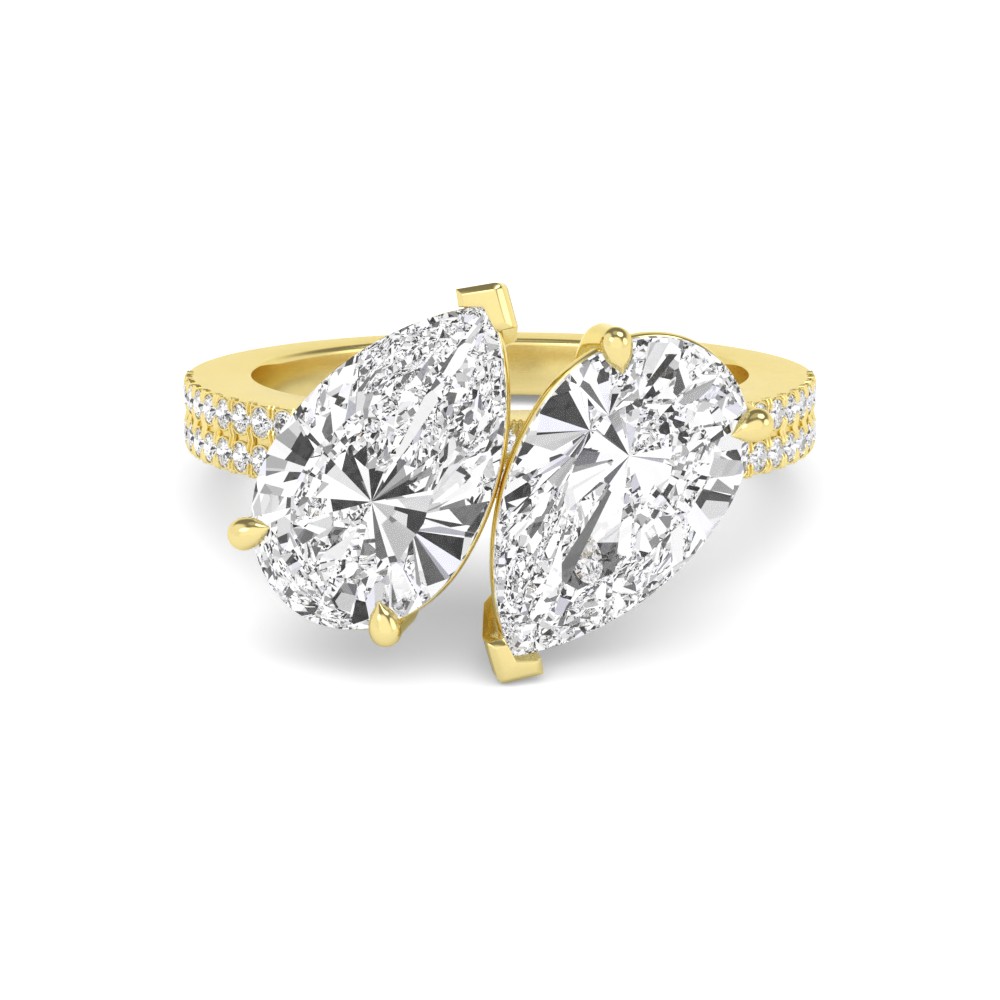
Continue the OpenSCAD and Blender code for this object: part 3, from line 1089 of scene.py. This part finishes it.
@dataclass(frozen=True)
class Setting:
    """One basket, in the left stone's frame: rails, stems, claws, V-prong and saddle.

    The claw's shape has columns distance towards its tip, as a share of its length, and radius, as
    a share of its widest.
    """

    head: Head = field(default_factory=Head)
    outline: PearOutline = field(default_factory=PearOutline)
    shank: Shank = field(default_factory=Shank)
    girdle_t: float = 0.2
    seat_gap: float = 0.03
    rail_h: float = 0.5
    rail_t: float = 0.3
    rail_out: float = 0.04
    rail_points: int = 160
    rail_sides: int = 12
    rail_squareness: float = 0.6
    gallery_points: int = 120
    gallery_t: float = 0.45
    gallery_in: float = 0.85
    knee_depth: float = 2.2
    knee_in: float = 0.68
    knee_r: float = 0.62
    leg_r: float = 0.52
    bend_from: float = 0.65
    bend_to: float = 0.4
    bend_n: int = 11
    stem_top_r: tuple[float, ...] = (0.6, 0.56, 0.5, 0.44)
    claw_at: float = 137.3
    claw_r: float = 0.51
    claw_l: float = 0.97
    claw_up: float = 0.35
    claw_out: float = 0.19
    claw_dip: float = 16.0
    claw_sides: int = 28
    claw_back_deg: tuple[float, ...] = (6, 18, 32, 46, 60, 75)
    claw_shape: tuple[tuple[float, float], ...] = (
        (0, 1),
        (0.1, 0.99),
        (0.2, 0.955),
        (0.3, 0.91),
        (0.4, 0.85),
        (0.5, 0.77),
        (0.6, 0.67),
        (0.7, 0.51),
        (0.78, 0.365),
        (0.86, 0.225),
        (0.93, 0.115),
        (0.98, 0.045),
    )
    saddle_at: float = 16.5
    saddle_l: float = 2.7
    saddle_h: float = 0.5
    saddle_sunk: float = 0.9
    saddle_w_share: float = 0.92
    saddle_steps: int = 8
    saddle_soft: float = 0.16
    foot_along: float = 0.27
    foot_low: float = 0.33
    foot_high: float = 0.41
    vee_out: float = 0.85
    vee_arm_l: float = 1.44
    vee_arm_w: float = 0.56
    vee_spread: float = 48.0
    vee_up: float = 0.7
    vee_wrap: float = 0.08
    vee_lean: float = 1.25
    vee_waist_lean: float = 0.48
    vee_waist: float = 0.85
    vee_foot: float = 0.5
    vee_corner: float = 0.26
    vee_corner_steps: int = 5
    vee_chamfer: float = 0.2
    vee_soft: float = 0.03
    vee_leg_r: tuple[float, ...] = (0.52, 0.48, 0.46, 0.47, 0.5)
    vee_leg_sides: int = 20
    sharp_deg: float = 40.0

    @property
    def foot_rise(self) -> float:
        """How far the feet start over the band's outer face."""
        return self.saddle_h / 3

    def ring_rail(
        self, grow: float, z: float, thick: float, tall: float, count: int
    ) -> bmesh.types.BMesh:
        """Makes a rail with a rounded section that follows the stone's outline.

        Args:
            grow: How far the rail's middle lies outside the outline.
            z: Height of its middle.
            thick: Thickness across.
            tall: Height.
            count: Points along the outline.

        Returns:
            The rail.
        """
        bm = bmesh.new()
        loops = []
        for k in range(self.rail_sides):
            t = math.tau * (k + 0.5) / self.rail_sides
            c = math.copysign(abs(math.cos(t)) ** self.rail_squareness, math.cos(t))
            s = math.copysign(abs(math.sin(t)) ** self.rail_squareness, math.sin(t))
            height = Vector((0, 0, z + tall / 2 * s))
            loops.append([p + height for p in self.outline.points(count, grow + thick / 2 * c)])
        skin(bm, loops, closed=True)
        return bm

    def upper_rail(self) -> bmesh.types.BMesh:
        """Makes the rail that the stone sits on.

        Returns:
            The rail.
        """
        top = -self.girdle_t / 2 - self.seat_gap
        grow = self.rail_out - self.rail_t / 2
        middle = top - self.rail_h / 2
        return self.ring_rail(grow, middle, self.rail_t, self.rail_h, self.rail_points)

    def lower_rail(self) -> bmesh.types.BMesh:
        """Makes the gallery that ties the stems together.

        Returns:
            The rail.
        """
        grow = -self.gallery_in - self.gallery_t / 2
        thick = self.gallery_t
        return self.ring_rail(grow, -self.knee_depth, thick, thick, self.gallery_points)

    def along_claw(self, r: float, z: float, side: int) -> Vector:
        """Returns a point over a claw's place on the outline."""
        a = math.radians(self.claw_at)
        return Vector((side * r * math.sin(a), r * math.cos(a), z))

    @property
    def claw_from(self) -> float:
        """Distance of a claw's round end from the stone's widest place."""
        return self.outline.reach(self.claw_at) + self.claw_out

    def claw(self, side: int) -> bmesh.types.BMesh:
        """Makes a claw: half round at the back, then drawn out to its tip.

        Args:
            side: -1 or 1, the side of the stone.

        Returns:
            The claw.
        """
        heart = self.along_claw(self.claw_from, self.claw_up, side)
        dip = math.radians(self.claw_dip)
        tip_from = self.claw_from - self.claw_l * math.cos(dip)
        tip = self.along_claw(tip_from, self.claw_up + self.claw_l * math.sin(dip), side)
        way = (tip - heart).normalized()
        back = [math.radians(b) for b in self.claw_back_deg]
        rows = [(-self.claw_r * math.cos(b), self.claw_r * math.sin(b)) for b in back]
        rows += [(self.claw_l * t, self.claw_r * share) for t, share in self.claw_shape]
        path = [heart + way * along for along, _ in rows]
        bm = bmesh.new()
        bar(bm, path, [radius for _, radius in rows], Vector((0, 0, 1)), self.claw_sides)
        return bm

    def to_stone(self, degrees: float, z: float, rise: float) -> Vector:
        """Returns a point over the band's outer face, in the stone's frame."""
        return self.head.left().inverted() @ self.shank.spot(degrees, z, rise)

    def stem(self, side: int) -> bmesh.types.BMesh:
        """Makes a stem, from its foot on the saddle over the knee to the claw.

        Args:
            side: -1 or 1, the side of the stone.

        Returns:
            The stem.
        """
        along = math.degrees(self.saddle_l * self.foot_along / self.shank.outer_r)
        foot = self.to_stone(side * along - self.saddle_at, -self.foot_low, self.foot_rise)
        knee = self.along_claw(self.claw_from - self.knee_in, -self.knee_depth, side)
        top = self.along_claw(self.claw_from, self.claw_up, side)
        start = between(foot, knee, self.bend_from)
        curve = bent(start, knee, between(knee, top, self.bend_to), self.bend_n)
        path = [foot, *curve, between(knee, top, 0.75), top]
        radii = [self.leg_r] + [self.knee_r] * (self.bend_n - 2) + list(self.stem_top_r)
        a = math.radians(self.claw_at)
        across = Vector((math.cos(a), -side * math.sin(a), 0))
        bm = bmesh.new()
        bar(bm, path, radii, across)
        return bm

    def vee_loop(self, inset: float) -> list[Vector]:
        """Draws the V-prong's outline, seen along the stone's axis.

        Args:
            inset: How far its outer sides and its ends are drawn in.

        Returns:
            Its points.
        """
        a = math.radians(self.vee_spread)
        tip = self.outline.point_l
        corner = Vector((0, tip + self.vee_out, 0))
        heart = corner - Vector((0, self.vee_corner / math.sin(a), 0))
        r = self.vee_corner - inset
        last = self.vee_corner_steps
        turns = [a + (math.pi - 2 * a) * k / last for k in range(last + 1)]
        loop = [heart + Vector((r * math.cos(t), r * math.sin(t), 0)) for t in turns]
        ends = []
        for side in (-1, 1):
            along = Vector((side * math.sin(a), -math.cos(a), 0))
            outward = Vector((side * math.cos(a), math.sin(a), 0))
            end = corner + along * (self.vee_arm_l - inset)
            ends.append([end - outward * inset, end - outward * self.vee_arm_w])
        return loop + ends[0] + [Vector((0, tip - self.vee_wrap, 0))] + ends[1][::-1]

    def vee(self) -> bmesh.types.BMesh:
        """Makes the V-prong: a chevron round the stone's point, leaning in to its foot.

        Returns:
            The prong.
        """
        depth = self.knee_depth
        waist_lean = self.vee_lean * self.vee_waist_lean
        # Height, lean, share of the full width, inset
        rows = (
            (-depth - self.gallery_t, self.vee_lean, self.vee_foot, 0.0),
            (-depth + self.gallery_t / 2, waist_lean, self.vee_waist, 0.0),
            (-self.girdle_t, 0.0, 1.0, 0.0),
            (self.vee_up - self.vee_chamfer, 0.0, 1.0, 0.0),
            (self.vee_up, 0.0, 1.0, self.vee_chamfer),
        )
        loops = []
        for z, lean, share, inset in rows:
            loops.append([Vector((p.x * share, p.y - lean, z)) for p in self.vee_loop(inset)])
        bm = bmesh.new()
        skin(bm, loops)
        soften(bm, self.vee_soft, segments=2, least_deg=25)
        return bm

    def vee_leg(self) -> bmesh.types.BMesh:
        """Makes the leg under the V-prong.

        Returns:
            The leg.
        """
        foot = self.to_stone(-self.saddle_at, self.foot_high, self.foot_rise)
        y = self.outline.point_l + self.vee_out - self.vee_lean - self.vee_arm_w
        heel = Vector((0, y, -self.knee_depth - self.gallery_t))
        bm = bmesh.new()
        last = len(self.vee_leg_r) - 1
        path = [between(foot, heel, i / last) for i in range(last + 1)]
        bar(bm, path, self.vee_leg_r, Vector((1, 0, 0)), self.vee_leg_sides)
        return bm

    def saddle(self) -> bmesh.types.BMesh:
        """Makes the block that the feet are soldered to, in the ring's frame.

        Returns:
            The block.
        """
        half = math.degrees(self.saddle_l / 2 / self.shank.outer_r)
        w = self.shank.half_w_back * self.saddle_w_share
        low = -self.saddle_sunk
        corners = ((w, low), (w, self.saddle_h), (-w, self.saddle_h), (-w, low))
        loops = []
        for i in range(self.saddle_steps + 1):
            a = -self.saddle_at + half * (2 * i / self.saddle_steps - 1)
            loops.append([self.shank.spot(a, z, rise) for z, rise in corners])
        bm = bmesh.new()
        skin(bm, loops)
        soften(bm, self.saddle_soft, segments=3, least_deg=40)
        return bm


# Studio


@dataclass(frozen=True)
class Toward:
    """A softbox: where it stands in the sky, how wide it looks and how bright it is."""

    azimuth: float
    elevation: float
    half_width: float
    edge: float
    light: float

    def vector(self) -> Vector:
        """Works out the direction: azimuth 0 is towards -Y, 90 towards +X.

        Returns:
            A vector of length 1.
        """
        a = math.radians(self.azimuth)
        e = math.radians(self.elevation)
        return Vector((math.sin(a) * math.cos(e), -math.cos(a) * math.cos(e), math.sin(e)))


@dataclass(frozen=True)
class Studio:
    """Floor, light and camera."""

    dome: float = 0.52
    key: Toward = Toward(0, 58, 25, 50, 1.95)
    wall_top: tuple[float, float] = (15, 36)
    wall_light: float = 1.06
    ceiling_light: float = 0.25
    softboxes: tuple[Toward, ...] = (
        Toward(180, 84, 12, 9, 0.6),
        Toward(-85, 30, 24, 14, 1.1),
        Toward(0, 20, 34, 14, 1.25),
        Toward(74, 21, 11, 8, 1.9),
        Toward(90, 66, 14, 5, 3.0),
        Toward(-43, 40, 10, 5, 3.0),
    )
    cards_per_m: float = 16.0
    brightest: float = 1.2
    cool_from: float = 0.9
    cool_card: tuple[float, float, float] = (0.9, 0.9, 1.0)
    cards: tuple[tuple[float, float], ...] = (
        (0, 0.005),
        (0.12, 0.02),
        (0.24, 0.2),
        (0.38, 0.52),
        (0.6, 0.84),
        (1, 1),
    )
    bounces: int = 32
    camera_at: tuple[float, float, float] = (0, -140, 22.6)
    camera_down: float = 10.48
    camera_near_m: float = 0.01
    lens_mm: float = 149.78
    sensor_mm: float = 36.0
    floor_m: float = 0.9
    floor_paint: float = 0.86
    floor_glow: float = 0.27
    floor_in_gold: float = 0.84
    floor_roughness: float = 0.9
    backdrop: float = 1.1

    def add_camera(self) -> None:
        """Adds the camera at the photograph's angle to the ring."""
        data = bpy.data.cameras.new("camera")
        data.lens = self.lens_mm
        data.sensor_width = self.sensor_mm
        data.clip_start = self.camera_near_m
        camera = bpy.data.objects.new("camera", data)
        bpy.context.scene.collection.objects.link(camera)
        stand = Matrix.Translation(Vector(self.camera_at) * MM)
        camera.matrix_world = REST @ stand @ turn("X", 90 - self.camera_down)
        bpy.context.scene.camera = camera

    def add_floor(self) -> None:
        """Adds the pale floor that the ring lies on."""
        bm = bmesh.new()
        bmesh.ops.create_grid(bm, x_segments=1, y_segments=1, size=self.floor_m / 2)
        mesh = bpy.data.meshes.new("floor")
        bm.to_mesh(mesh)
        bm.free()
        material = bpy.data.materials.new("floor_white")
        material.use_nodes = True
        shader = material.node_tree.nodes["Principled BSDF"]
        tree = material.node_tree
        mirrored = tree.nodes.new("ShaderNodeLightPath").outputs["Is Glossy Ray"]
        paint = mix(tree, mirrored, self.floor_paint, self.floor_paint * self.floor_in_gold)
        tree.links.new(paint, shader.inputs["Base Color"])
        tree.links.new(mix(tree, mirrored, 1.0, self.floor_in_gold), shader.inputs["Emission Color"])
        shader.inputs["Roughness"].default_value = self.floor_roughness
        shader.inputs["Emission Strength"].default_value = self.floor_glow
        mesh.materials.append(material)
        floor = bpy.data.objects.new("floor", mesh)
        bpy.context.scene.collection.objects.link(floor)
        floor.visible_transmission = False

    def add_world(self) -> None:
        """Adds the light all round: a plain dome for matt surfaces, a studio for gold and stones."""
        world = bpy.data.worlds.new("studio")
        world.use_nodes = True
        bpy.context.scene.world = world
        tree = world.node_tree
        background = tree.nodes["Background"].inputs
        way = tree.nodes.new("ShaderNodeTexCoord").outputs["Generated"]
        path = tree.nodes.new("ShaderNodeLightPath").outputs
        level, cool = self.for_stones(tree, way)
        studio = self.for_gold(tree, way)
        room = mix(tree, self.patch(tree, way, self.key), self.dome, self.key.light)
        room = mix(tree, path["Is Camera Ray"], room, self.backdrop)
        light = mix(tree, path["Is Glossy Ray"], room, studio)
        light = mix(tree, path["Is Transmission Ray"], light, level)
        tree.links.new(light, background["Strength"])
        speck = math_node(tree, "MULTIPLY", cool, path["Is Transmission Ray"])
        tree.links.new(tinted(tree, speck, (1, 1, 1), self.cool_card), background["Color"])

    def patch(
        self, tree: bpy.types.NodeTree, way: bpy.types.NodeSocket, toward: Toward
    ) -> bpy.types.NodeSocket:
        """Adds a soft-edged round patch of the sky.

        Args:
            tree: The world's nodes.
            way: Socket with the direction looked at.
            toward: Where the patch is and how wide.

        Returns:
            A socket that is 1 within the patch and 0 outside.
        """
        dot = tree.nodes.new("ShaderNodeVectorMath")
        dot.operation = "DOT_PRODUCT"
        tree.links.new(way, dot.inputs[0])
        dot.inputs[1].default_value = toward.vector()
        ramp = tree.nodes.new("ShaderNodeMapRange")
        ramp.interpolation_type = "SMOOTHSTEP"
        tree.links.new(dot.outputs["Value"], ramp.inputs["Value"])
        outside = math.radians(toward.half_width + toward.edge)
        inside = math.radians(toward.half_width)
        ramp.inputs["From Min"].default_value = math.cos(outside)
        ramp.inputs["From Max"].default_value = math.cos(inside)
        return ramp.outputs["Result"]

    def for_gold(self, tree: bpy.types.NodeTree, way: bpy.types.NodeSocket) -> bpy.types.NodeSocket:
        """Adds the light that gold mirrors: a bright wall, a dim ceiling, softboxes.

        Args:
            tree: The world's nodes.
            way: Socket with the direction looked at.

        Returns:
            The light's strength.
        """
        height = tree.nodes.new("ShaderNodeSeparateXYZ")
        tree.links.new(way, height.inputs[0])
        ramp = tree.nodes.new("ShaderNodeMapRange")
        ramp.interpolation_type = "SMOOTHSTEP"
        tree.links.new(height.outputs["Z"], ramp.inputs["Value"])
        ramp.inputs["From Min"].default_value = math.sin(math.radians(self.wall_top[0]))
        ramp.inputs["From Max"].default_value = math.sin(math.radians(self.wall_top[1]))
        ramp.inputs["To Min"].default_value = self.wall_light
        ramp.inputs["To Max"].default_value = self.ceiling_light
        total = ramp.outputs["Result"]
        for toward in self.softboxes:
            total = mix(tree, self.patch(tree, way, toward), total, toward.light)
        return total

    def for_stones(
        self, tree: bpy.types.NodeTree, way: bpy.types.NodeSocket
    ) -> tuple[bpy.types.NodeSocket, bpy.types.NodeSocket]:
        """Adds the light that the stones gather: small cards, white to black.

        Args:
            tree: The world's nodes.
            way: Socket with the direction looked at.

        Returns:
            The light's strength, and a mask of the cool cards.
        """
        cells = tree.nodes.new("ShaderNodeTexVoronoi")
        cells.feature = "F1"
        cells.inputs["Scale"].default_value = self.cards_per_m
        tree.links.new(way, cells.inputs["Vector"])
        grey = tree.nodes.new("ShaderNodeSeparateColor")
        tree.links.new(cells.outputs["Color"], grey.inputs[0])
        ramp = tree.nodes.new("ShaderNodeValToRGB")
        stops = ramp.color_ramp.elements
        while len(stops) < len(self.cards):
            stops.new(1.0)
        for stop, (start, light) in zip(stops, self.cards):
            stop.position = start
            stop.color = (light, light, light, 1)
        tree.links.new(grey.outputs[0], ramp.inputs[0])
        cool = math_node(tree, "GREATER_THAN", grey.outputs[1], self.cool_from)
        return math_node(tree, "MULTIPLY", ramp.outputs["Color"], self.brightest), cool


    def set_light_paths(self) -> None:
        """Lets light pass through the stones many times, and keeps colours as they are."""
        scene = bpy.context.scene
        scene.view_settings.view_transform = "Standard"
        scene.cycles.max_bounces = self.bounces
        scene.cycles.glossy_bounces = self.bounces
        scene.cycles.transmission_bounces = self.bounces
        scene.cycles.caustics_reflective = False
        scene.cycles.caustics_refractive = False


# Building


def even_faces(piece: bpy.types.Object) -> None:
    """Keeps flat faces flat up to their rounded edges."""
    even = piece.modifiers.new("even_faces", "WEIGHTED_NORMAL")
    even.keep_sharp = True


def build_band(
    satin: bpy.types.Material, gold: bpy.types.Material, diamond: bpy.types.Material
) -> None:
    """Builds the shank and what is set in it.

    Args:
        satin: Finish of the band.
        gold: Finish of the bars.
        diamond: Finish of the small stones.
    """
    shank = Shank()
    pave = Pave(shank)
    body = shank.band()
    for first in (0, 1):
        body = carved(body, pave.seats(first))
    shank.keep_crisp(body)
    band = make_piece("shank", body, satin, Slot.GOLD)
    even_faces(band)
    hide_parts("ring_mount")
    make_piece("pave_bars", pave.bars(), gold, Slot.GOLD)
    stones = make_piece("pave_brilliants", pave.stones(), diamond, Slot.DIAMOND, sharp_deg=0)
    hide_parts("pave_stones")


def build_setting(side: str, place: Matrix, gold: bpy.types.Material) -> None:
    """Builds one basket.

    Args:
        side: "left" or "right", for the names.
        place: Matrix from the stone's frame to the ring's frame.
        gold: Finish of the metal.
    """
    setting = Setting()
    parts = {
        "upper_rail": setting.upper_rail(),
        "lower_rail": setting.lower_rail(),
        "claw_a": setting.claw(-1),
        "claw_b": setting.claw(1),
        "stem_a": setting.stem(-1),
        "stem_b": setting.stem(1),
        "v_prong": setting.vee(),
        "v_leg": setting.vee_leg(),
    }
    for name, bm in parts.items():
        fitted = carved(bm, PearStone(grow=setting.seat_gap).cut())
        piece = make_piece(f"{name}_{side}", fitted, gold, Slot.GOLD, place, setting.sharp_deg)
        if name == "v_prong":
            even_faces(piece)
    round_ring = Matrix.Identity(4) if side == "left" else turn("Y", 180)
    block = setting.saddle()
    name = f"saddle_{side}"
    even_faces(make_piece(name, block, gold, Slot.GOLD, round_ring, setting.sharp_deg))


def main() -> None:
    """Builds the ring's pieces in order."""
    logging.basicConfig(level=logging.INFO, format="%(message)s")
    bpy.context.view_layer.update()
    studio = Studio()
    studio.add_camera()
    studio.add_floor()
    studio.add_world()
    studio.set_light_paths()
    diamond = Diamond().material()
    gold = Gold().material()
    satin = Gold(
        name="gold_satin",
        grains_per_mm=30.0,
        roughness=(0.14, 0.28),
        grain_um=0.35,
        colour=(0.815, 0.675, 0.3),
        deep=(0.745, 0.6, 0.24),
    ).material()
    build_band(satin, gold, diamond)
    head = Head()
    for side, place in (("left", head.left()), ("right", head.right())):
        build_setting(side, place, gold)
        stone = PearStone().cut()
        piece = make_piece(f"pear_stone_{side}_cut", stone, diamond, Slot.DIAMOND, place, 0)
        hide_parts(f"pear_stone_{side}")


if __name__ == "__main__":
    main()
